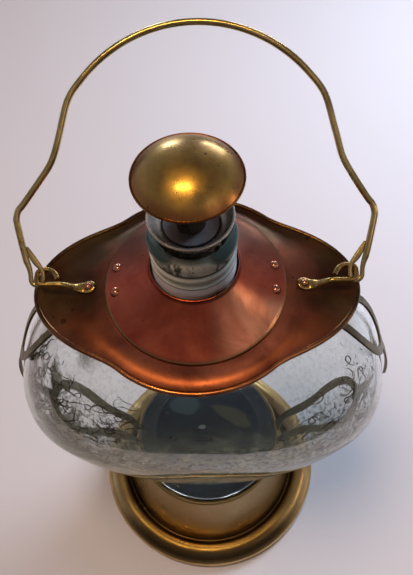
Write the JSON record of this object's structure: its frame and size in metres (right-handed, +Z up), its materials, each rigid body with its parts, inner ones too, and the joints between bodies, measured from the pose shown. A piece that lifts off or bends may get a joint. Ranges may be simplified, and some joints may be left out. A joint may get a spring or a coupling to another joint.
{
  "type": "oil lamp",
  "caption": "Oil lamp with an oval glass font on a spun brass foot, a lobed copper collar with a wire bail, a corked wick burner and a domed snuffer.",
  "frame": {"origin": "centre of the foot's underside, on the surface that the lamp stands on", "axes": "+Z up along the lamp's axis, +X towards the right-hand lug of the bail, +Y towards the back, where the bail leans"},
  "size_m": [0.185, 0.1538, 0.3053],
  "materials": {
    "felt": "matte",
    "iron": "rough",
    "foot_brass": "polished, aged",
    "pad": "matte",
    "glass": "clear",
    "copper": "polished copper, aged",
    "bronze": "dull bronze",
    "lug_brass": "satin",
    "bail_brass": "polished",
    "rivet_copper": "polished copper",
    "gasket": "matte",
    "cork": "matte",
    "burner_brass": "satin",
    "nickel": "brushed nickel",
    "liner": "satin, dark",
    "cotton": "woven cotton",
    "dome_brass": "polished, aged"
  },
  "bodies": {
    "lamp": {"base_felt": "felt", "base_weight": "iron", "base_shell": "foot_brass", "foot_pad": "pad", "glass_font": "glass", "collar_plate": "copper", "collar_rim_wire": "copper", "collar_cone": "copper", "cone_rivets": "rivet_copper", "neck_gasket": "gasket", "strap_right": "bronze", "strap_left": "bronze", "strap_low_right": "bronze", "strap_low_left": "bronze", "lug_right": "lug_brass", "lug_left": "lug_brass", "lug_rivets": "rivet_copper"},
    "burner": {"burner_plug": "cork", "plug_washer": "burner_brass", "tube_nut": "burner_brass", "wick_tube": "burner_brass", "burner_dish": "nickel", "dish_liner": "liner"},
    "wick": {"wick": "cotton"},
    "snuffer": {"snuffer_stem": "burner_brass", "snuffer_disc": "dome_brass", "snuffer_dome": "dome_brass"},
    "bail": {"bail_handle": "bail_brass"}
  },
  "joints": [
    {"name": "bail_swing", "type": "hinge", "parent": "lamp", "child": "bail", "pos_m": [0, 0.0026, 0.2364], "axis": [1, 0, 0], "range_deg": [0, 110]},
    {"name": "burner_lift", "type": "slide", "parent": "lamp", "child": "burner", "axis": [0, 0, 1], "range_m": [0, 0.15]},
    {"name": "wick_feed", "type": "slide", "parent": "burner", "child": "wick", "axis": [0, 0, 1], "range_m": [-0.004, 0.011]},
    {"name": "snuffer_lift", "type": "slide", "parent": "burner", "child": "snuffer", "axis": [0, 0, 1], "range_m": [0, 0.05]}
  ]
}
